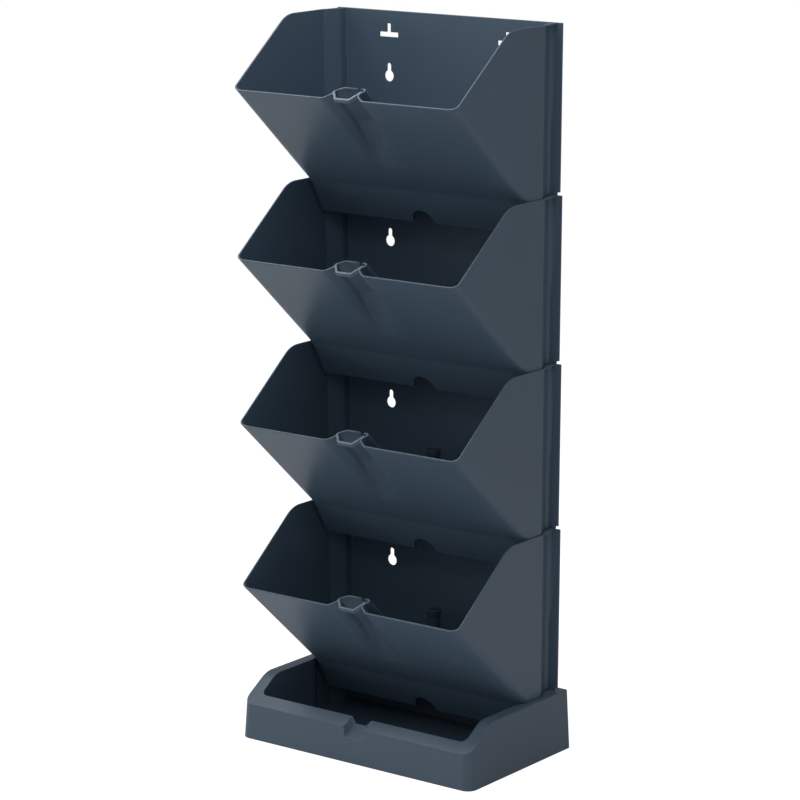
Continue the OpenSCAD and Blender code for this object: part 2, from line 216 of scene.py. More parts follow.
class Bench:
    """The modelling steps that all pieces share."""

    MERGE = 2e-6
    PIN_SIDES = 64
    NORMAL_WEIGHT = 80

    @staticmethod
    def clear() -> None:
        """Deselects everything."""
        for other in bpy.context.selected_objects:
            other.select_set(False)

    @staticmethod
    def only(obj: bpy.types.Object) -> None:
        """Selects one object and makes it active.

        Args:
            obj: The object.
        """
        Bench.clear()
        obj.select_set(True)
        bpy.context.view_layer.objects.active = obj

    @staticmethod
    @contextmanager
    def editing(obj: bpy.types.Object) -> Iterator[None]:
        """Opens an object in edit mode, in vertex selection, and closes it afterwards.

        Args:
            obj: The object.
        """
        Bench.only(obj)
        bpy.ops.object.mode_set(mode="EDIT")
        bpy.ops.mesh.select_mode(type="VERT")
        yield
        bpy.ops.object.mode_set(mode="OBJECT")

    @staticmethod
    def loop(name: str, points: Sequence[Vector]) -> bpy.types.Object:
        """Adds a circle and moves its points to their places.

        Args:
            name: Name of the new object.
            points: Places of the loop's points, in order.

        Returns:
            The loop, with no face.
        """
        Bench.clear()
        bpy.ops.mesh.primitive_circle_add(vertices=len(points), radius=1, fill_type="NOTHING")
        obj = bpy.context.object
        obj.name = obj.data.name = name
        obj.data.vertices.foreach_set("co", [c for p in points for c in p])
        return obj

    @staticmethod
    def tower(name: str, rings: Sequence[Sequence[Vector]]) -> bpy.types.Object:
        """Extrudes a loop from ring to ring and closes both ends.

        Args:
            name: Name of the new object.
            rings: The rings in order, each with as many points.

        Returns:
            The closed solid.
        """
        obj = Bench.loop(name, rings[0])
        for mark, values in (("place", list(range(len(rings[0])))), ("level", [0] * len(rings[0]))):
            obj.data.attributes.new(mark, "INT", "POINT").data.foreach_set("value", values)
        with Bench.editing(obj):
            bpy.ops.mesh.select_all(action="SELECT")
            for level, ring in enumerate(rings[1:], 1):
                bpy.ops.mesh.extrude_region_move()
                mesh = bmesh.from_edit_mesh(obj.data)
                place, height = (mesh.verts.layers.int[mark] for mark in ("place", "level"))
                for vert in (v for v in mesh.verts if v.select):
                    vert.co = ring[vert[place]]
                    vert[height] = level
            for level in (0, len(rings) - 1):
                bpy.ops.mesh.select_all(action="DESELECT")
                mesh = bmesh.from_edit_mesh(obj.data)
                height = mesh.verts.layers.int["level"]
                for vert in mesh.verts:
                    vert.select_set(vert[height] == level)
                mesh.select_flush(True)
                bpy.ops.mesh.edge_face_add()
            Bench.tidy_faces()
        for mark in ("place", "level"):
            obj.data.attributes.remove(obj.data.attributes[mark])
        return obj

    @staticmethod
    def tidy_faces() -> None:
        """Merges points that lie together and turns the faces outwards, in edit mode."""
        bpy.ops.mesh.select_all(action="SELECT")
        bpy.ops.mesh.remove_doubles(threshold=Bench.MERGE)
        bpy.ops.mesh.dissolve_degenerate(threshold=Bench.MERGE)
        bpy.ops.mesh.select_all(action="SELECT")
        bpy.ops.mesh.normals_make_consistent(inside=False)

    @staticmethod
    def plate(name: str, points: Sequence[Vector], rise: Vector) -> bpy.types.Object:
        """Fills a loop and extrudes it.

        Args:
            name: Name of the new object.
            points: Places of the outline's points, in order.
            rise: How far and which way the face is extruded.

        Returns:
            The closed solid.
        """
        obj = Bench.loop(name, points)
        with Bench.editing(obj):
            bpy.ops.mesh.select_all(action="SELECT")
            bpy.ops.mesh.edge_face_add()
            bpy.ops.mesh.extrude_region_move(TRANSFORM_OT_translate={"value": tuple(rise)})
            Bench.tidy_faces()
        return obj

    @staticmethod
    def turned(name: str, section: Sequence[Flat], centre: Vector, steps: int) -> bpy.types.Object:
        """Spins a closed section once round an upright line.

        Args:
            name: Name of the new object.
            section: Points of the section, as distance from the line and height.
            centre: A point of the line.
            steps: Pieces of the full turn.

        Returns:
            The closed ring.
        """
        obj = Bench.loop(name, [Vector((centre.x + r, centre.y, centre.z + z)) for r, z in section])
        with Bench.editing(obj):
            bpy.ops.mesh.select_all(action="SELECT")
            bpy.ops.mesh.spin(steps=steps, angle=math.tau, center=centre, axis=(0, 0, 1))
            bpy.ops.mesh.select_all(action="SELECT")
            bpy.ops.mesh.remove_doubles(threshold=Bench.MERGE)
            bpy.ops.mesh.normals_make_consistent(inside=False)
        return obj

    @staticmethod
    def pin(name: str, start: Vector, direction: Vector, radius: float, length: float) -> bpy.types.Object:
        """Adds a plain round pin for cutting.

        Args:
            name: Name of the new object.
            start: Centre of its first end.
            direction: The way it points.
            radius: Its radius.
            length: Its length.

        Returns:
            The closed solid.
        """
        Bench.clear()
        bpy.ops.mesh.primitive_cylinder_add(vertices=Bench.PIN_SIDES, radius=radius, depth=length)
        obj = bpy.context.object
        obj.name = name
        turn = direction.to_track_quat("Z", "Y").to_matrix().to_4x4()
        obj.data.transform(Matrix.Translation(start + direction.normalized() * length / 2) @ turn)
        return obj

    @staticmethod
    def join(body: bpy.types.Object, tool: bpy.types.Object, how: Joining) -> None:
        """Puts a solid together with a body and removes it.

        Args:
            body: The body that stays.
            tool: The solid that is cut away or added.
            how: Which of the two.
        """
        Bench.only(body)
        bpy.ops.object.modifier_add(type="BOOLEAN")
        modifier = body.modifiers[-1]
        modifier.operation = how.value
        modifier.solver = "EXACT"
        modifier.object = tool
        bpy.ops.object.modifier_apply(modifier=modifier.name)
        bpy.data.meshes.remove(tool.data)

    @staticmethod
    def soften(
        obj: bpy.types.Object, width: float, segments: int = 3, sharpest: float = 32.0,
        share: Callable[[Vector, Vector], float] | None = None,
    ) -> None:
        """Rounds the sharp edges.

        Args:
            obj: The piece.
            width: Width of the rounding.
            segments: Faces across each rounding.
            sharpest: Angle in degrees over which an edge is rounded.
            share: Tells from a face's normal and centre how much of the width its edges get.
        """
        with Bench.editing(obj):
            Bench.tidy_faces()
        mesh = bmesh.new()
        mesh.from_mesh(obj.data)
        weight = mesh.edges.layers.float.new("bevel_weight_edge")
        for edge in mesh.edges:
            if edge.calc_face_angle(0.0) > math.radians(sharpest):
                edge[weight] = 1.0
                if share:
                    edge[weight] = min(share(f.normal, f.calc_center_median()) for f in edge.link_faces)
        mesh.to_mesh(obj.data)
        mesh.free()
        Bench.only(obj)
        bpy.ops.object.modifier_add(type="BEVEL")
        bevel = obj.modifiers[-1]
        bevel.width = width
        bevel.segments = segments
        bevel.limit_method = "WEIGHT"
        bevel.use_clamp_overlap = False
        bpy.ops.object.modifier_apply(modifier=bevel.name)
        obj.data.attributes.remove(obj.data.attributes["bevel_weight_edge"])

    @staticmethod
    def shade(obj: bpy.types.Object) -> None:
        """Gives the faces smooth shading that keeps the large faces flat.

        Args:
            obj: The piece.
        """
        Bench.only(obj)
        bpy.ops.object.shade_smooth()
        bpy.ops.object.modifier_add(type="WEIGHTED_NORMAL")
        normals = obj.modifiers[-1]
        normals.weight = Bench.NORMAL_WEIGHT
        bpy.ops.object.modifier_apply(modifier=normals.name)

    @staticmethod
    def raised_copy(obj: bpy.types.Object, name: str, rise: float) -> bpy.types.Object:
        """Copies a piece with a mesh of its own and lifts the copy's mesh.

        Args:
            obj: The piece.
            name: Name of the copy.
            rise: How far it is lifted.

        Returns:
            The copy.
        """
        Bench.only(obj)
        bpy.ops.object.duplicate()
        copy = bpy.context.object
        copy.name = copy.data.name = name
        copy.data.transform(Matrix.Translation((0, 0, rise)))
        return copy


@dataclass(frozen=True)
class MouldedFinish:
    """Finish of a moulded plastic with a fine eroded grain and a faint sheen."""

    name: str
    colour: tuple[float, float, float]
    roughness: float
    grain: float = 1500.0
    grain_depth: float = 0.00012
    grain_strength: float = 0.35
    mottling: float = 0.10
    refraction: float = 1.5
    sheen: float = 0.2
    sheen_roughness: float = 0.32

    def material(self) -> bpy.types.Material:
        """Makes the finish's material.

        Returns:
            The material.
        """
        material = bpy.data.materials.new(self.name)
        material.use_nodes = True
        nodes, links = material.node_tree.nodes, material.node_tree.links
        shader, surface = nodes["Principled BSDF"], nodes.new("ShaderNodeGroup")
        bump = nodes.new("ShaderNodeBump")
        surface.node_tree = MouldedSurface().group()
        for node, name, value in (
            (shader, "IOR", self.refraction), (shader, "Coat Weight", self.sheen),
            (shader, "Coat Roughness", self.sheen_roughness), (surface, "Colour", (*self.colour, 1.0)),
            (surface, "Roughness", self.roughness), (surface, "Grain", self.grain),
            (surface, "Mottling", self.mottling), (bump, "Strength", self.grain_strength),
            (bump, "Distance", self.grain_depth),
        ):
            node.inputs[name].default_value = value
        links.new(surface.outputs["Colour"], shader.inputs["Base Color"])
        links.new(surface.outputs["Roughness"], shader.inputs["Roughness"])
        links.new(surface.outputs["Height"], bump.inputs["Height"])
        links.new(bump.outputs["Normal"], shader.inputs["Normal"])
        return material

    def dress(self, obj: bpy.types.Object) -> None:
        """Gives a piece this finish alone.

        Args:
            obj: The piece.
        """
        material = bpy.data.materials.get(self.name) or self.material()
        obj.data.materials.clear()
        obj.data.materials.append(material)


@dataclass(frozen=True)
class MouldedSurface:
    """Fine grain, cloudy tone and uneven gloss of a moulded surface, as one node group for all finishes."""

    name: str = "moulded surface"
    fine_detail: float = 2.0
    cloud_scale: float = 26.0
    cloud_detail: float = 3.0
    mean: float = 0.5
    speck_tone: float = 0.10
    gloss_swing: float = 0.12

    def group(self) -> bpy.types.NodeTree:
        """Makes the group once.

        Returns:
            The group.
        """
        if self.name in bpy.data.node_groups:
            return bpy.data.node_groups[self.name]
        group = bpy.data.node_groups.new(self.name, "ShaderNodeTree")
        for way, name, kind in (
            ("INPUT", "Colour", "Color"), ("INPUT", "Roughness", "Float"), ("INPUT", "Grain", "Float"),
            ("INPUT", "Mottling", "Float"), ("OUTPUT", "Colour", "Color"), ("OUTPUT", "Roughness", "Float"),
            ("OUTPUT", "Height", "Float"),
        ):
            group.interface.new_socket(name=name, in_out=way, socket_type="NodeSocket" + kind)
        nodes, links = group.nodes, group.links
        given, given_back = nodes.new("NodeGroupInput"), nodes.new("NodeGroupOutput")
        place = nodes.new("ShaderNodeTexCoord")
        fine, cloud = nodes.new("ShaderNodeTexNoise"), nodes.new("ShaderNodeTexNoise")
        fine.inputs["Detail"].default_value = self.fine_detail
        cloud.inputs["Scale"].default_value = self.cloud_scale
        cloud.inputs["Detail"].default_value = self.cloud_detail
        links.new(place.outputs["Object"], fine.inputs["Vector"])
        links.new(place.outputs["Object"], cloud.inputs["Vector"])
        links.new(given.outputs["Grain"], fine.inputs["Scale"])
        speck = self.maths(group, "SUBTRACT", fine.outputs["Fac"], self.mean)
        patch = self.maths(group, "SUBTRACT", cloud.outputs["Fac"], self.mean)
        specks = self.maths(group, "MULTIPLY", speck, self.speck_tone)
        clouds = self.maths(group, "MULTIPLY", patch, given.outputs["Mottling"])
        tone = self.maths(group, "ADD", self.maths(group, "ADD", clouds, specks), 1.0)
        tinted = nodes.new("ShaderNodeVectorMath")
        tinted.operation = "SCALE"
        links.new(given.outputs["Colour"], tinted.inputs[0])
        links.new(tone, tinted.inputs["Scale"])
        gloss = self.maths(group, "MULTIPLY", patch, self.gloss_swing)
        roughness = self.maths(group, "ADD", given.outputs["Roughness"], gloss)
        links.new(tinted.outputs["Vector"], given_back.inputs["Colour"])
        links.new(roughness, given_back.inputs["Roughness"])
        links.new(fine.outputs["Fac"], given_back.inputs["Height"])
        return group

    @staticmethod
    def maths(
        group: bpy.types.NodeTree, operation: str, first: bpy.types.NodeSocket,
        second: bpy.types.NodeSocket | float,
    ) -> bpy.types.NodeSocket:
        """Adds a maths node.

        Args:
            group: The node group.
            operation: What the node works out.
            first: Its first value.
            second: Its second value, as a socket or a number.

        Returns:
            The socket of the result.
        """
        node = group.nodes.new("ShaderNodeMath")
        node.operation = operation
        group.links.new(first, node.inputs[0])
        if isinstance(second, float):
            node.inputs[1].default_value = second
        else:
            group.links.new(second, node.inputs[1])
        return node.outputs[0]


class Moulding:
    """A sub-assembly whose pieces are all moulded in one plastic."""

    FINISH: MouldedFinish
    SLOT: Slot

    def dress(self, piece: bpy.types.Object, node: str, body: str) -> None:
        """Gives a piece the finish and ties it to the frame.

        Args:
            piece: The piece.
            node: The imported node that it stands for.
            body: The body that it rides on.
        """
        self.FINISH.dress(piece)
        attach(piece, body)
        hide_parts(node)
        LOG.info("%s: %d faces, rides on %s", piece.name, len(piece.data.polygons), body)


@dataclass(frozen=True)
class TierSizes:
    """Sizes of one tier in metres and degrees, with y at zero on its back face."""

    back_y: float
    seat: float
    top: float
    half_width: float
    depth: float = 0.1785
    rim_rise: float = 0.1053
    mouth_angle: float = 38.1
    mouth_r: float = 0.035
    draft: float = 0.787
    wall: float = 0.002
    seat_gap: float = 0.0003
    knee_reach: float = 0.0654
    foot_reach: float = 0.0413
    foot_h: float = 0.0363
    floor_drop: float = 0.0176
    rim_corner_r: float = 0.011
    knee_corner_r: float = 0.015
    foot_corner_r: float = 0.0085
    knee_fold: float = 0.000314
    arch_r: float = 0.014
    recess_w: float = 0.0088
    recess_depth: float = 0.030
    recess_side: float = 0.012
    recess_r: float = 0.0012
    recess_bend: float = 0.0035
    nest_gap: float = 0.0004
    foot_gap: float = 0.0007
    flange_t: float = 0.002
    flange_lap: float = 0.0015
    flange_foot_w: float = 0.007
    flange_notch_h: float = 0.0026
    hood_t: float = 0.0015
    hood_drop: float = 0.0002
    hood_lap: float = 0.0035
    fixing_x: float = 0.076
    keyhole_r: float = 0.006
    keyhole_neck: float = 0.0055
    keyhole_length: float = 0.0135
    keyhole_rise: float = 0.1067
    slot_w: float = 0.0245
    slot_h: float = 0.005
    stem_w: float = 0.005
    stem_h: float = 0.009
    slot_corner_r: float = 0.0006
    slot_rise: float = 0.1499
    groove_w: float = 0.0488
    groove_depth: float = 0.0165
    groove_full: float = 0.050
    groove_length: float = 0.118
    groove_tighten: float = 0.025
    ring_bar: float = 0.019
    ring_w: float = 0.034
    ring_t: float = 0.003
    ring_h: float = 0.0045
    slit_w: float = 0.005
    slit_depth: float = 0.006
    tube_reach: float = 0.0275
    tube_hole_r: float = 0.0069
    edge: float = 0.00075
    hole_edge: float = 0.0003
    band_edge: float = 0.0006


class Tier(Moulding):
    """One pocket of the stack, with its foot, flanges, tool groove and tool ring."""

    FINISH = MouldedFinish("slate moulded plastic", (0.112, 0.172, 0.240), 0.36)
    SLOT = Slot.TIER
    # Section of the groove at the rim and at its lower end, as shares of half its width and of its depth.
    GROOVE = ((-1.0, 0.0), (-0.66, 0.4), (-0.61, 0.7), (-0.25, 1.0), (0.84, 1.0), (0.53, 0.52), (1.0, 0.0))
    GROOVE_END = (
        (-1.0, 0.0), (-0.8, 0.4), (-0.66, 0.7), (-0.5, 1.0), (-0.28, 1.0), (0.36, 0.5), (1.0, 0.0),
    )
    GROOVE_POWER = 2.4
    GROOVE_MARGIN = 0.03
    OUTER_RADII = (0.009, 0.006, 0.003, 0.004, 0.0012, 0.0045, 0.008)
    INNER_RADII = (0.007, 0.008, 0.005, 0.006, 0.0032, 0.0025, 0.006)
    OUTER_LOW_RADII = (0.009, 0.006, 0.003, 0.004, 0.0012, 0.0015, 0.0015)
    INNER_LOW_RADII = (0.007, 0.008, 0.005, 0.006, 0.0032, 0.0010, 0.0010)
    GROOVE_STEPS = 4
    MOUTH_STEPS = 12
    FRONT_STEPS = 10
    RECESS_STEPS = 2
    RECESS_BEND_STEPS = 4
    RING_STEPS = 3
    SLOT_STEPS = 2
    HEAD_STEPS = 40
    NECK_STEPS = 16
    # Distances from the knee of the lines over and under it.
    KNEE_LEVELS = (0.0015, 0.003, 0.006)
    # Depths of the tool ring's corners, as shares of the groove's depth, and their radii.
    RING_DEPTH_SHARES = (0.72, 0.56, 0.0, 0.0, 0.66, 0.8)
    RING_RADII = (0.0, 0.002, 0.0025, 0.0025, 0.002, 0.0)
    RING_INNER_LESS = 0.001
    LEVEL_FACE = 0.5
    UPRIGHT_FACE = 0.1
    # Places of the lines where the groove runs out, as shares of that stretch.
    RAMP_SHARES = (0.0, 0.06, 0.15, 0.28, 0.42, 0.56, 0.7, 0.82, 0.92, 1.0)
    OVERRUN = 0.005
    # Keeps the faces of joined solids out of one plane.
    HAIR = 0.00003

    def __init__(self, sizes: TierSizes) -> None:
        """Keeps the sizes and works out the levels and the slopes of the front wall.

        Args:
            sizes: The tier's sizes.
        """
        self.s = sizes
        self.shoulder = sizes.seat + sizes.seat_gap
        self.rim = sizes.seat + sizes.rim_rise
        self.foot = sizes.seat - sizes.foot_h
        self.floor = sizes.seat - sizes.floor_drop
        self.low_slope = (sizes.knee_reach - sizes.foot_reach) / (self.shoulder - self.foot)
        self.high_slope = (sizes.depth - sizes.knee_reach) / (self.rim - self.shoulder)
        self.low_wall = math.hypot(1, self.low_slope)
        self.high_wall = math.hypot(1, self.high_slope)
        self.down = Vector((0, sizes.depth - sizes.knee_reach, self.shoulder - self.rim)).normalized()
        turn = math.radians(sizes.mouth_angle)
        self.inwards = Vector((0, math.cos(turn), math.sin(turn)))
        self.lip = Vector((0, -sizes.depth, self.rim))
        self.inset = sizes.wall + sizes.foot_gap
        self.mouth = Rim(-sizes.depth, self.rim, sizes.top, sizes.mouth_angle, sizes.mouth_r)

    def slant(self, beside: float, x: float, inset: float) -> float:
        """Place along y of a recess's slanting part.

        Args:
            beside: Half the width where the side wall stands that the recess starts from.
            x: Place across.
            inset: Distance in from the outside.

        Returns:
            The place, in metres from the back face.
        """
        slope = (self.s.recess_depth - self.s.recess_side) / self.s.recess_w
        return -self.s.recess_depth - inset * math.hypot(1, slope) + slope * (beside - x)

    def half_width(self, z: float) -> float:
        """Half the width of the tier's outside at a height."""
        return self.s.half_width - (self.s.top - z) * math.tan(math.radians(self.s.draft))

    def reach(self, z: float, inset: float) -> float:
        """Reach of the front wall at a height, with a soft fold at the knee.

        Args:
            z: The height.
            inset: Distance in from the outside, square to the wall.

        Returns:
            The distance from the back face.
        """
        low = self.s.knee_reach - (self.shoulder - z) * self.low_slope - inset * self.low_wall
        high = self.s.knee_reach + (z - self.shoulder) * self.high_slope - inset * self.high_wall
        return (low + high + math.hypot(high - low, 2 * self.s.knee_fold)) / 2

    def corner_r(self, z: float, inset: float) -> float:
        """Radius of the front corners.

        Args:
            z: The height.
            inset: Distance in from the outside.

        Returns:
            The radius.
        """
        if z < self.shoulder:
            share = (z - self.foot) / (self.shoulder - self.foot)
            radius = mixed(self.s.foot_corner_r, self.s.knee_corner_r, share)
        else:
            share = min((z - self.shoulder) / (self.rim - self.shoulder), 1.0)
            radius = mixed(self.s.knee_corner_r, self.s.rim_corner_r, share)
        return max(radius - inset, self.s.wall)

    def groove_path(self, run: float, inset: float) -> list[Flat]:
        """Section of the groove across the front wall.

        Args:
            run: Distance down the front wall from the rim.
            inset: Thickness of the wall between the groove and this surface.

        Returns:
            Points from left to right, as place across and depth.
        """
        share = (run - self.s.groove_full) / (self.s.groove_length - self.s.groove_full)
        share = min(max(share, 0.0), 1.0)
        depth = 1 - share
        turn = 1 - depth**self.GROOVE_POWER
        path = [
            (
                mixed(a[0], b[0], turn) * self.s.groove_w / 2,
                mixed(a[1], b[1], turn) * self.s.groove_depth * depth,
            )
            for a, b in zip(self.GROOVE, self.GROOVE_END)
        ]
        if inset:
            path = moved_aside(path, inset)
        high = self.INNER_RADII if inset else self.OUTER_RADII
        low = self.INNER_LOW_RADII if inset else self.OUTER_LOW_RADII
        tight = min(max(run / self.s.groove_tighten, 0.0), 1.0)
        radii = [mixed(a, b, tight) for a, b in zip(high, low)]
        first = Corner(path[0][0] - self.GROOVE_MARGIN, path[0][1])
        last = Corner(path[-1][0] + self.GROOVE_MARGIN, path[-1][1])
        corners = [Corner(x, y, r, self.GROOVE_STEPS) for (x, y), r in zip(path, radii)]
        return rounded([first, *corners, last], closed=False)[1:-1]

    def ring(self, run: float, z: float, inset: float, low: bool) -> list[Vector]:
        """One level line of the tier's wall.

        Args:
            run: Distance down the front wall from the rim, for the groove's section.
            z: Height of the line away from the groove.
            inset: Distance in from the outside.
            low: Whether the line is on the foot, which stands in from the pocket below it.

        Returns:
            The line's points, anticlockwise seen from above.
        """
        s = self.s
        stand_in = self.inset if low else 0.0
        side, front = self.half_width(z) - inset, self.reach(z, inset)
        beside = self.half_width(z + s.top - s.seat) if low else self.half_width(z)
        panel, back = beside - s.recess_w - inset - stand_in, -inset - stand_in
        start, turn = (self.slant(beside, x, inset + stand_in) for x in (side, panel))
        match = -(s.recess_depth + inset + self.inset + s.recess_r)
        bend, back_r = s.recess_bend + inset, s.recess_r if inset else 0.0
        right = [
            Corner(side, -front, self.corner_r(z, inset), self.FRONT_STEPS), Corner(side, match),
            Corner(side, start, s.recess_r, self.RECESS_STEPS),
            Corner(panel, turn, bend, self.RECESS_BEND_STEPS),
            Corner(panel, back, back_r, self.RECESS_STEPS),
        ]
        front_left, match_left, *back_left = (replace(c, x=-c.x) for c in right)
        outline = rounded([match_left, front_left, *right, *reversed(back_left)])
        level = [Vector((x, y, z)) for x, y in outline]
        middle = self.FRONT_STEPS + 2
        end = middle + self.FRONT_STEPS + 1
        bends = self.mouth.bends(self.MOUTH_STEPS)
        left_side = [Vector((-side, max(y, level[1].y), z)) for y in reversed(bends)]
        right_side = [Vector((side, max(y, level[1].y), z)) for y in bends]
        if run >= s.groove_length:
            groove = [Vector((x, -front, z)) for x, _ in self.groove_path(s.groove_length, inset)]
        else:
            start = self.lip + self.down * run
            groove = [start + Vector((x, 0, 0)) + self.inwards * d for x, d in self.groove_path(run, inset)]
        left, rest = level[1:middle], level[end:]
        return [level[0], *left_side, *left, *groove, *level[middle:end], *right_side, *rest]

    def stations(self, inset: float) -> list[tuple[float, float]]:
        """Places of the level lines over the knee, from the lowest up.

        Args:
            inset: Distance in from the outside.

        Returns:
            Distance down the front wall from the rim, and height, of each line.
        """
        s = self.s
        ramp = s.groove_length - s.groove_full
        runs = [s.groove_full + ramp * share for share in reversed(self.RAMP_SHARES)]
        runs += [s.groove_full / 2, 0.0, -s.groove_length]
        normal = Vector((0, -self.down.z, self.down.y))
        deep = inset / normal.dot(self.inwards)
        return [(run, (self.lip + self.down * run + self.inwards * deep).z) for run in runs]

    def upper(self, inset: float) -> list[list[Vector]]:
        """Rings from the end of the groove up to the mouth, at a distance in from the outside."""
        rings = [self.ring(run, z, inset, False) for run, z in self.stations(inset)]
        return rings[:-2] + [self.mouth.trimmed(*rings[-2:])]

    def shell(self) -> bpy.types.Object:
        """Makes the pocket and its foot as one closed skin.

        Returns:
            The closed skin.
        """
        s = self.s
        knee = [self.shoulder + d for d in self.KNEE_LEVELS]
        under_knee = [self.shoulder - d for d in (*reversed(self.KNEE_LEVELS), 0.0)]
        far = s.groove_length * 2
        outer = [self.ring(far, z, 0.0, True) for z in (self.foot, *under_knee)]
        outer.append(self.ring(far, self.shoulder, 0.0, False))
        outer += [self.ring(far, z, 0.0, False) for z in knee]
        outer += self.upper(0.0)
        step = self.shoulder + s.wall
        inner = [self.ring(far, z, s.wall, True) for z in (self.floor, self.shoulder, step)]
        inner.append(self.ring(far, step, s.wall, False))
        inner += [self.ring(far, z + s.wall, s.wall, False) for z in knee[1:]]
        inner += self.upper(s.wall)
        hollow = [self.ring(far, z, s.wall, True) for z in (self.floor - s.wall, self.foot)]
        return Bench.tower("tier shell", hollow + outer + inner[::-1])

    def flange(self, side: int) -> bpy.types.Object:
        """Flat flange behind a corner recess, with a narrow foot at its lower end.

        Args:
            side: -1 on the left, 1 on the right.

        Returns:
            The closed solid.
        """
        s = self.s
        notch = self.shoulder + s.flange_notch_h
        foot = self.half_width(self.shoulder) - s.recess_w
        low, high = self.half_width(notch) + s.flange_lap, s.half_width + s.flange_lap
        bottom, top = s.seat + self.HAIR, s.top - self.HAIR
        points = [
            (foot - s.wall / 2, bottom), (foot + s.flange_foot_w, bottom),
            (foot + s.flange_foot_w, notch), (low, notch), (high, top),
            (s.half_width - s.recess_w - s.wall / 2, top),
        ]
        outline = [Vector((side * x, -self.HAIR, z)) for x, z in points]
        return Bench.plate("flange", outline, Vector((0, -s.flange_t, 0)))

    def hood(self, side: int) -> bpy.types.Object:
        """Lid over a corner recess, a little under the top edge.

        Args:
            side: -1 on the left, 1 on the right.

        Returns:
            The closed solid.
        """
        s = self.s
        wide, panel = s.half_width, s.half_width - s.recess_w
        points = [
            (wide - s.wall / 2, -s.recess_depth - s.wall / 2), (wide - s.edge, -s.recess_depth),
            (panel + s.hood_lap, -s.flange_t / 2), (panel - s.wall / 2, -s.flange_t / 2),
            (panel - s.wall / 2, -s.recess_side),
        ]
        outline = [Vector((side * x, y, s.top - s.hood_drop - s.hood_t)) for x, y in points]
        return Bench.plate("hood", outline, Vector((0, 0, s.hood_t)))

    def band(self) -> bpy.types.Object:
        """Tool ring: a band that stands out across the mouth of the groove.

        Returns:
            The closed solid.
        """
        s = self.s
        bar, wide = s.ring_bar / 2, s.ring_w / 2
        places = (-wide, -wide, -bar, bar, wide, wide + s.ring_t / 2)
        outer = [(x, share * s.groove_depth) for x, share in zip(places, self.RING_DEPTH_SHARES)]
        inner = moved_aside(outer, s.ring_t, level_ends=False)
        corners = [Corner(*p, r, self.RING_STEPS) for p, r in zip(outer, self.RING_RADII)]
        corners += [
            Corner(*p, max(r - self.RING_INNER_LESS, 0.0), self.RING_STEPS)
            for p, r in zip(reversed(inner), reversed(self.RING_RADII))
        ]
        across = self.inwards.cross(Vector((1, 0, 0)))
        points = [self.lip + Vector((x, 0, 0)) + self.inwards * y for x, y in rounded(corners)]
        return Bench.plate("tool ring", points, across * s.ring_h)

    def slit(self) -> bpy.types.Object:
        """Cutter for the slit behind the tool ring.

        Returns:
            The closed solid.
        """
        s = self.s
        across = self.inwards.cross(Vector((1, 0, 0)))
        left, right = s.ring_bar / 2, s.ring_bar / 2 + s.slit_w
        near, far = s.groove_depth - s.wall, s.groove_depth + s.wall * 2
        points = [
            self.lip + Vector((x, 0, 0)) + self.inwards * y - across * self.OVERRUN
            for x, y in ((left, near), (right, near), (right, far), (left, far))
        ]
        return Bench.plate("slit", points, across * (s.slit_depth + self.OVERRUN))

    def keyhole(self, side: int) -> bpy.types.Object:
        """Cutter for a keyhole: a round head with a neck over it.

        Args:
            side: -1 on the left, 1 on the right.

        Returns:
            The closed solid.
        """
        s = self.s
        neck = s.keyhole_neck / 2
        start = math.acos(neck / s.keyhole_r)
        sweep = math.pi + 2 * start
        head = [start - sweep * k / self.HEAD_STEPS for k in range(self.HEAD_STEPS + 1)]
        points = [(s.keyhole_r * math.cos(turn), s.keyhole_r * math.sin(turn)) for turn in head]
        tip = s.keyhole_length - neck
        arch = [math.pi * (1 - k / self.NECK_STEPS) for k in range(self.NECK_STEPS + 1)]
        points += [(neck * math.cos(turn), tip + neck * math.sin(turn)) for turn in arch]
        centre = s.seat + s.keyhole_rise
        outline = [Vector((side * s.fixing_x + x, self.OVERRUN, centre + z)) for x, z in points]
        return Bench.plate("keyhole", outline, Vector((0, -s.wall * 2 - self.OVERRUN, 0)))

    def hanging_slot(self, side: int) -> bpy.types.Object:
        """Cutter for a flat slot with a short stem over it.

        Args:
            side: -1 on the left, 1 on the right.

        Returns:
            The closed solid.
        """
        s = self.s
        wide, tall, stem = s.slot_w / 2, s.slot_h / 2, s.stem_w / 2
        right = ((wide, -tall), (wide, tall), (stem, tall), (stem, tall + s.stem_h))
        left = [(-x, z) for x, z in reversed(right)]
        points = [Corner(x, z, s.slot_corner_r, self.SLOT_STEPS) for x, z in (*right, *left)]
        centre = s.seat + s.slot_rise
        outline = [Vector((side * s.fixing_x + x, self.OVERRUN, centre + z)) for x, z in rounded(points)]
        return Bench.plate("hanging slot", outline, Vector((0, -s.wall * 2 - self.OVERRUN, 0)))

    def rounding(self, normal: Vector, centre: Vector) -> float:
        """Share of the rounding that a face's edges get.

        Args:
            normal: The face's normal.
            centre: Its centre.

        Returns:
            None of it for the level faces of the floor and the step, less for the walls of the holes.
        """
        s = self.s
        if abs(normal.z) > self.LEVEL_FACE and self.foot < centre.z - s.edge < self.shoulder + s.wall:
            return 0.0
        fixing = abs(centre.x) < s.fixing_x + s.slot_w and centre.z < s.top - s.edge
        in_back = fixing and -s.wall < centre.y < 0 and abs(normal.y) < self.UPRIGHT_FACE
        under_arch = abs(centre.x) <= s.arch_r and self.foot < centre.z < self.foot + s.arch_r
        in_arch = under_arch and centre.y < -s.foot_reach / 2
        return s.hole_edge / s.edge if in_back or in_arch else 1.0

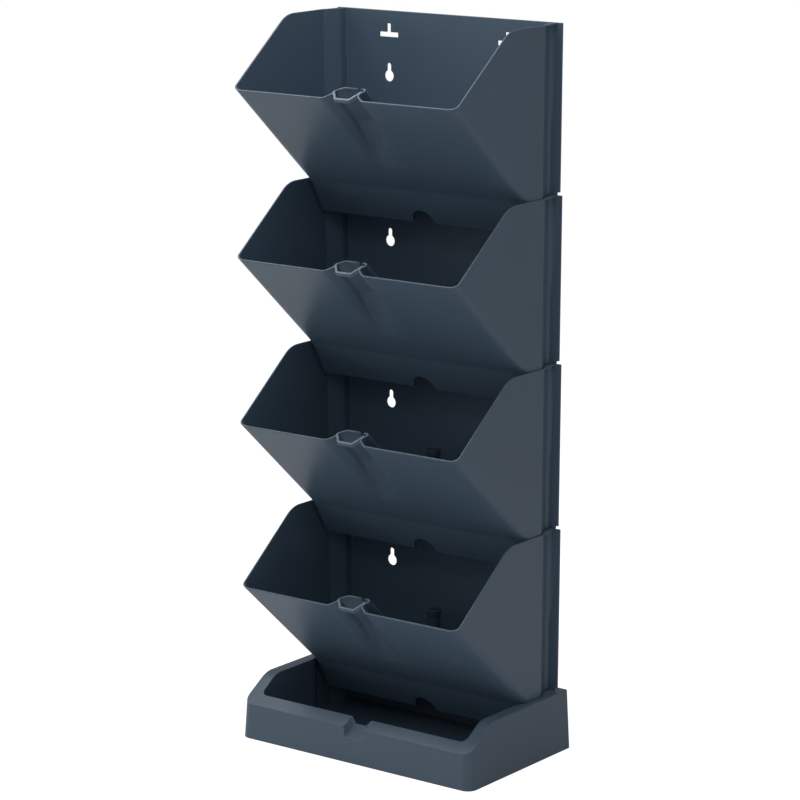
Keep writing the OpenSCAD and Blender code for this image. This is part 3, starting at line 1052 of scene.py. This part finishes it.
    def build(self) -> bpy.types.Object:
        """Makes the lowest tier.

        Returns:
            The tier, in its place in the row's frame.
        """
        s = self.s
        body = self.shell()
        for side in (-1, 1):
            Bench.join(body, self.keyhole(side), Joining.CUT)
            Bench.join(body, self.hanging_slot(side), Joining.CUT)
        start = Vector((0, -s.foot_reach / 2, self.foot))
        arch = Bench.pin("arch", start, Vector((0, -1, 0)), s.arch_r, s.knee_reach)
        Bench.join(body, arch, Joining.CUT)
        start = Vector((0, -s.tube_reach, self.floor - s.wall * 2))
        hole = Bench.pin("tube hole", start, Vector((0, 0, 1)), s.tube_hole_r, s.wall * 3)
        Bench.join(body, hole, Joining.CUT)
        Bench.soften(body, s.edge, share=self.rounding)
        parts = [(self.flange(side), s.edge) for side in (-1, 1)]
        parts += [(self.hood(side), s.hole_edge) for side in (-1, 1)]
        parts.append((self.band(), s.band_edge))
        for part, edge in parts:
            Bench.soften(part, edge)
            Bench.join(body, part, Joining.ADD)
        Bench.join(body, self.slit(), Joining.CUT)
        Bench.shade(body)
        body.data.transform(Matrix.Translation((0, s.back_y, 0)))
        return body


@dataclass(frozen=True)
class BaseSizes:
    """Sizes of the base tray in metres and degrees, with y at zero on the tiers' back face."""

    back_y: float
    half_width: float
    height: float
    reach: float = 0.1699
    back: float = 0.0081
    front_h: float = 0.0367
    angle: float = 33.8
    rim_r: float = 0.030
    draft: float = 3.0
    corner_r: float = 0.011
    corner_least_r: float = 0.002
    back_r: float = 0.002
    back_least_r: float = 0.0005
    wall: float = 0.0025
    lift: float = 0.002
    front_rim: float = 0.0149
    side_rim: float = 0.014
    widen_gap: float = 0.001
    widen: float = 0.009
    widen_r: float = 0.003
    recess_r: float = 0.001
    opening_r: float = 0.007
    spout_w: float = 0.0282
    lip_w: float = 0.025
    lip_h: float = 0.025
    inner_w: float = 0.025
    sill_w: float = 0.012
    sill_h: float = 0.0396
    edge: float = 0.0007


class Base(Moulding):
    """Base tray: an open water tray with a sloping front rim and a spout."""

    # The tiers' slate colour made about a tenth darker: painted shade for the tray, which sits lowest under
    # the tiers.
    FINISH = MouldedFinish("slate base plastic with painted shade", (0.102, 0.157, 0.219), 0.36)
    SLOT = Slot.BASE
    RIM_STEPS = 6
    CORNER_STEPS = 10
    # Pieces of the arcs along each side, from the front to the back, alike on every outline.
    SIDE_STEPS = (2, 2, 2, 3, 2)
    SPOUT_STEPS = 3
    # Where the spout's wall and its cut start and end, as shares of the way to the front face.
    SPOUT_WALL_SHARES = (0.0, 0.8)
    SPOUT_CUT_SHARES = (-0.25, 1.25)
    OVERRUN = 0.01
    HIDDEN_DROP = 0.001
    OVER_RIM_SHARE = 1.2
    DOWNWARD = -0.5

    def __init__(self, sizes: BaseSizes, tier: Tier) -> None:
        """Keeps the sizes and the side view of the rim.

        Args:
            sizes: The tray's sizes.
            tier: The tier that stands in the tray.
        """
        self.s = sizes
        self.tier = tier
        self.rim = Rim(-sizes.reach, sizes.front_h, sizes.height, sizes.angle, sizes.rim_r)

    def turns(self) -> tuple[float, float]:
        """Where the opening starts and ends to widen round the tier."""
        start = -self.tier.reach(self.tier.s.seat, 0.0) + self.s.widen_gap
        return start, start + self.s.widen

    def outer(self, inset: float, lean: float = 0.0) -> list[Flat]:
        """Outline of the outside, with as many points as the opening's.

        Args:
            inset: How far it is drawn in.
            lean: How much further its front and sides are drawn in.

        Returns:
            The outline, anticlockwise seen from above.
        """
        s = self.s
        wide, front, back = s.half_width - inset - lean, s.reach - inset - lean, s.back - inset
        narrow, widened = self.turns()
        hidden = -self.tier.s.recess_depth - self.tier.s.wall
        panel = self.tier.s.half_width - self.tier.s.recess_w
        corner = max(s.corner_r - inset, s.corner_least_r)
        rear = max(s.back_r - inset, s.back_least_r)
        right = [
            Corner(wide, narrow), Corner(wide, widened), Corner(wide, hidden), Corner(wide, back, rear),
            Corner(panel, back),
        ]
        return self.both(Corner(wide, -front, corner), right)

    def opening(self, outset: float) -> list[Flat]:
        """Outline of the tray's opening.

        Args:
            outset: How far it is grown.

        Returns:
            The outline, anticlockwise seen from above.
        """
        s, t = self.s, self.tier.s
        trough = s.half_width - s.height * math.tan(math.radians(s.draft)) - s.side_rim + outset
        wide = self.tier.half_width(t.seat) + t.nest_gap + outset
        panel = t.half_width - t.recess_w - t.wall + outset
        start, turn = (self.tier.slant(t.half_width, x, t.wall - outset) for x in (wide, panel))
        front = s.reach - s.front_rim + outset
        narrow, widened = self.turns()
        right = [
            Corner(trough, narrow, s.widen_r), Corner(wide, widened, s.widen_r),
            Corner(wide, start, s.recess_r), Corner(panel, turn, s.recess_r),
            Corner(panel, -t.wall + outset, s.recess_r),
        ]
        return self.both(Corner(trough, -front, s.opening_r + outset), right)

    def both(self, front: Corner, right: Sequence[Corner]) -> list[Flat]:
        """Closes an outline with its left side, and gives each arc as many pieces on every outline.

        Args:
            front: The right front corner.
            right: The other corners of the right side, from the front to the back.

        Returns:
            The outline, anticlockwise seen from above.
        """
        front = replace(front, steps=self.CORNER_STEPS)
        half = [front, *(Corner(front.x, y) for y in self.rim.bends(self.RIM_STEPS))]
        half += [replace(corner, steps=n) for corner, n in zip(right, self.SIDE_STEPS)]
        front_left, *left = (replace(corner, x=-corner.x) for corner in half)
        return rounded([front_left, *half, *reversed(left)])

    def leaning(self, inset: float, drop: float) -> list[Vector]:
        """Line where the leaning outside meets the rim.

        Args:
            inset: How far the outside is drawn in.
            drop: How far the line lies under the rim.

        Returns:
            The line's points.
        """
        s = self.s
        over = s.height * self.OVER_RIM_SHARE
        low = [Vector((x, y, 0)) for x, y in self.outer(inset)]
        lean = over * math.tan(math.radians(s.draft))
        high = [Vector((x, y, over)) for x, y in self.outer(inset, lean)]
        return [point - Vector((0, 0, drop)) for point in self.rim.trimmed(low, high)]

    def spout(self, swell: float, ends: tuple[float, float], over: float) -> bpy.types.Object:
        """Solid of the spout's trough, from the inner edge of the rim to the front face.

        Args:
            swell: How much wider and deeper than the trough it is.
            ends: Where it starts and ends, as shares of the way to the front face.
            over: How far it stands over the rim.

        Returns:
            The closed solid.
        """
        s = self.s
        inner = s.reach - s.front_rim
        inner_h = s.front_h + s.front_rim * math.tan(math.radians(s.angle))
        rings = []
        for step in range(self.SPOUT_STEPS + 1):
            share = mixed(*ends, step / self.SPOUT_STEPS)
            top, sill = mixed(inner_h, s.front_h, share), mixed(s.sill_h, s.lip_h, share)
            half_top = mixed(s.inner_w, s.spout_w, share) / 2
            half_sill = mixed(s.sill_w, s.lip_w, share) / 2
            flare = (half_top - half_sill) / (top - sill) * over
            low, high = (half_sill + swell, sill - swell), (half_top + swell + flare, top + over)
            y = -mixed(inner, s.reach, share)
            section = ((-low[0], low[1]), low, high, (-high[0], high[1]))
            rings.append([Vector((x, y, z)) for x, z in section])
        return Bench.tower("spout", rings)

    def rounding(self, normal: Vector, centre: Vector) -> float:
        """Share of the rounding that a face's edges get: none on the hidden underside."""
        return 0.0 if normal.z < self.DOWNWARD and centre.z > self.s.lift / 2 else 1.0

    def build(self) -> bpy.types.Object:
        """Makes the base tray.

        Returns:
            The tray, in its place in the row's frame.
        """
        s = self.s
        opening, around = self.opening(0.0), self.opening(s.wall)

        def level(outline: Sequence[Flat], z: float) -> list[Vector]:
            """Points of an outline at a height."""
            return [Vector((x, y, z)) for x, y in outline]

        rings = [
            level(around, s.lift),
            [Vector((x, y, self.rim.height(y) - s.wall)) for x, y in around],
            self.leaning(s.wall, s.wall),
            level(self.outer(s.wall), 0.0),
            level(self.outer(0.0), 0.0),
            self.leaning(0.0, 0.0),
            [Vector((x, y, self.rim.height(y))) for x, y in opening],
            level(opening, s.lift + s.wall),
        ]
        body = Bench.tower("base tray", rings)
        Bench.join(body, self.spout(s.wall, self.SPOUT_WALL_SHARES, -self.HIDDEN_DROP), Joining.ADD)
        Bench.join(body, self.spout(0.0, self.SPOUT_CUT_SHARES, self.OVERRUN), Joining.CUT)
        Bench.soften(body, s.edge, share=self.rounding)
        Bench.shade(body)
        body.data.transform(Matrix.Translation((0, s.back_y, 0)))
        return body


@dataclass(frozen=True)
class TubeSizes:
    """Sizes of an overflow tube and its cap in metres."""

    outer_r: float = 0.0065
    bore_r: float = 0.0045
    stop_r: float = 0.010
    stop_t: float = 0.002
    plug: float = 0.012
    rise: float = 0.0882
    seat_gap: float = 0.0003
    cap_r: float = 0.0075
    cap_h: float = 0.007
    cap_hole_r: float = 0.003
    cap_socket: float = 0.0045
    fit: float = 0.00005
    edge: float = 0.0005


class Overflow(Moulding):
    """Overflow tube that stands in a tier's floor, and its cap."""

    FINISH = MouldedFinish(
        "dark slate plastic", (0.055, 0.083, 0.115), 0.40, grain_depth=0.00010, mottling=0.06,
    )
    SLOT = Slot.TUBE
    TURN_STEPS = 64
    EDGE_STEPS = 3
    SOCKET_STEPS = 2
    CAP_STEPS = 5
    SMOOTH_ANGLE = math.radians(40)

    def __init__(self, sizes: TubeSizes, tier: Tier) -> None:
        """Keeps the sizes and finds the tube's place on the tier's floor."""
        self.s = sizes
        self.foot = Vector((0, tier.s.back_y - tier.s.tube_reach, tier.floor))

    def tube(self) -> bpy.types.Object:
        """Makes the tube with its stop flange.

        Returns:
            The tube, in the lowest tier.
        """
        s = self.s
        low, high = -s.plug, s.rise - s.cap_h + s.cap_socket - s.seat_gap
        under, over = s.seat_gap, s.seat_gap + s.stop_t
        section = [
            Corner(s.bore_r, low, s.edge, self.EDGE_STEPS),
            Corner(s.outer_r, low, s.edge, self.EDGE_STEPS),
            Corner(s.outer_r, under),
            Corner(s.stop_r, under, s.edge, self.EDGE_STEPS),
            Corner(s.stop_r, over, s.edge, self.EDGE_STEPS),
            Corner(s.outer_r, over, s.edge * 2, self.EDGE_STEPS),
            Corner(s.outer_r, high, s.edge, self.EDGE_STEPS),
            Corner(s.bore_r, high, s.edge, self.EDGE_STEPS),
        ]
        return self.finished("overflow tube", section)

    def cap(self) -> bpy.types.Object:
        """Makes the cap: a short cup pushed over the tube, with a hole in its top.

        Returns:
            The cap, in the lowest tier.
        """
        s = self.s
        low, high = s.rise - s.cap_h, s.rise
        socket = low + s.cap_socket
        inner = s.outer_r + s.fit
        section = [
            Corner(inner, low, s.edge / 2, self.SOCKET_STEPS),
            Corner(s.cap_r, low, s.edge / 2, self.SOCKET_STEPS),
            Corner(s.cap_r, high, s.edge * 2, self.CAP_STEPS),
            Corner(s.cap_hole_r, high, s.edge, self.EDGE_STEPS),
            Corner(s.cap_hole_r, socket, s.edge / 2, self.SOCKET_STEPS),
            Corner(inner, socket),
        ]
        return self.finished("tube cap", section)

    def finished(self, name: str, section: Sequence[Corner]) -> bpy.types.Object:
        """Spins a section round the tube's line and gives it smooth shading.

        Args:
            name: Name of the new object.
            section: Corners of the section, as distance from the line and height.

        Returns:
            The finished piece.
        """
        obj = Bench.turned(name, rounded(section), self.foot, self.TURN_STEPS)
        bpy.ops.object.shade_smooth_by_angle(angle=self.SMOOTH_ANGLE)
        return obj


@dataclass(frozen=True)
class Lamp:
    """A square soft lamp: its name, its place, the length of its side and its power."""

    name: str
    place: tuple[float, float, float]
    size: float
    watts: float


class Studio:
    """Floor, background, lamps and camera."""

    FLOOR_R = 6.0
    FLOOR_SIDES = 96
    FLOOR_TONE = 0.86
    FLOOR_ROUGHNESS = 0.9
    MIDDLE = Vector((0, 0, 0.38))
    AMBIENT = 0.2
    CAMERA_GLOW = 0.84
    LAMPS = (
        Lamp("top softbox", (0.1, -0.35, 1.7), 1.0, 5.2),
        Lamp("left softbox", (-0.9, -0.16, 1.8), 0.6, 5.6),
        Lamp("low left", (-2.2, -1.0, 0.8), 1.5, 9.5),
        Lamp("high right", (1.14, -1.63, 2.07), 0.8, 4.0),
    )
    WHITE = (1.0, 1.0, 1.0, 1.0)
    CAMERA_PLACE = Vector((2.0041, -2.6106, 1.1087))
    AZIMUTH = 37.5115
    ELEVATION = 12.6087
    ROLL = -0.3211
    LENS = 146.66
    SENSOR = 36.0
    FARTHEST = 50.0

    def camera(self) -> None:
        """Puts the camera where the photograph was taken from."""
        a, e, r = (math.radians(v) for v in (self.AZIMUTH, self.ELEVATION, self.ROLL))
        back = Vector((math.sin(a) * math.cos(e), -math.cos(a) * math.cos(e), math.sin(e)))
        level = Vector((math.cos(a), math.sin(a), 0))
        upright = back.cross(level)
        right = level * math.cos(r) + upright * math.sin(r)
        up = upright * math.cos(r) - level * math.sin(r)
        data = bpy.data.cameras.new("camera")
        data.sensor_width, data.lens = self.SENSOR, self.LENS
        data.clip_end = self.FARTHEST
        camera = bpy.data.objects.new("camera", data)
        bpy.context.scene.collection.objects.link(camera)
        turn = Matrix((right, up, back)).transposed().to_4x4()
        camera.matrix_world = Matrix.Translation(self.CAMERA_PLACE) @ turn
        bpy.context.scene.camera = camera

    def lamp(self, lamp: Lamp) -> None:
        """Adds a square soft lamp that faces the middle of the object.

        Args:
            lamp: The lamp.
        """
        data = bpy.data.lights.new(lamp.name, "AREA")
        data.size, data.energy = lamp.size, lamp.watts
        obj = bpy.data.objects.new(lamp.name, data)
        bpy.context.scene.collection.objects.link(obj)
        place = Vector(lamp.place)
        turn = (self.MIDDLE - place).to_track_quat("-Z", "Y").to_matrix().to_4x4()
        obj.matrix_world = Matrix.Translation(place) @ turn

    def surroundings(self, light: float) -> None:
        """Lights the scene evenly from all round, with white behind the object.

        Args:
            light: Strength of the light.
        """
        world = bpy.data.worlds.new("studio")
        world.use_nodes = True
        bpy.context.scene.world = world
        nodes, links = world.node_tree.nodes, world.node_tree.links
        nodes.clear()
        path, mix = nodes.new("ShaderNodeLightPath"), nodes.new("ShaderNodeMixShader")
        soft, white = nodes.new("ShaderNodeBackground"), nodes.new("ShaderNodeBackground")
        out = nodes.new("ShaderNodeOutputWorld")
        soft.inputs["Strength"].default_value = light
        white.inputs["Strength"].default_value = 1.0
        for background in (soft, white):
            background.inputs["Color"].default_value = self.WHITE
        links.new(path.outputs["Is Camera Ray"], mix.inputs["Fac"])
        links.new(soft.outputs[0], mix.inputs[1])
        links.new(white.outputs[0], mix.inputs[2])
        links.new(mix.outputs[0], out.inputs["Surface"])

    def floor(self) -> None:
        """Adds the pale floor that the object stands on."""
        Bench.clear()
        bpy.ops.mesh.primitive_circle_add(vertices=self.FLOOR_SIDES, radius=self.FLOOR_R, fill_type="NGON")
        floor = bpy.context.object
        floor.name = "floor"
        material = bpy.data.materials.new("pale floor")
        material.use_nodes = True
        nodes, links = material.node_tree.nodes, material.node_tree.links
        shader = nodes["Principled BSDF"]
        shader.inputs["Base Color"].default_value = (*[self.FLOOR_TONE] * 3, 1)
        shader.inputs["Roughness"].default_value = self.FLOOR_ROUGHNESS
        shader.inputs["Emission Color"].default_value = self.WHITE
        path, glow = nodes.new("ShaderNodeLightPath"), nodes.new("ShaderNodeMath")
        glow.operation = "MULTIPLY"
        glow.inputs[1].default_value = self.CAMERA_GLOW
        links.new(path.outputs["Is Camera Ray"], glow.inputs[0])
        links.new(glow.outputs[0], shader.inputs["Emission Strength"])
        floor.data.materials.append(material)

    def build(self) -> None:
        """Sets up everything round the object."""
        bpy.context.scene.view_settings.view_transform = "Standard"
        self.surroundings(self.AMBIENT)
        self.floor()
        for lamp in self.LAMPS:
            self.lamp(lamp)
        self.camera()


class Planter:
    """The whole object: a base, four tiers, and an overflow tube with a cap in each tier."""

    LEVELS = 4
    ENDING = "_shell"

    def __init__(self) -> None:
        """Reads the places of the tiers and the base from the frame."""
        high, base_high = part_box("tier_1")[1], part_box("base_tray")[1]
        half_width = high.x - TierSizes.flange_lap
        self.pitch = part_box("tier_2")[1].z - high.z
        self.tier = Tier(TierSizes(back_y=high.y, seat=base_high.z, top=high.z, half_width=half_width))
        self.base = Base(BaseSizes(high.y, base_high.x, base_high.z), self.tier)
        self.overflow = Overflow(TubeSizes(), self.tier)

    def build(self) -> None:
        """Builds, places and dresses all the pieces."""
        base = self.base.build()
        base.name = base.data.name = "base_tray" + self.ENDING
        self.base.dress(base, "base_tray", "base")
        models = (
            (self.tier, self.tier.build(), "tier_{}", "tier_{}"),
            (self.overflow, self.overflow.tube(), "overflow_tube_{}", "tube_{}"),
            (self.overflow, self.overflow.cap(), "tube_cap_{}", "tube_{}"),
        )
        for moulding, model, node, body in models:
            for level in range(1, self.LEVELS + 1):
                name = node.format(level)
                piece = Bench.raised_copy(model, name + self.ENDING, self.pitch * (level - 1))
                moulding.dress(piece, name, body.format(level))
            bpy.data.meshes.remove(model.data)


def main() -> None:
    """Builds the planter and the studio."""
    logging.basicConfig(level=logging.INFO, format="%(name)s: %(message)s")
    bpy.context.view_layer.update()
    Planter().build()
    Studio().build()
    bpy.context.view_layer.update()


if __name__ == "__main__":
    main()
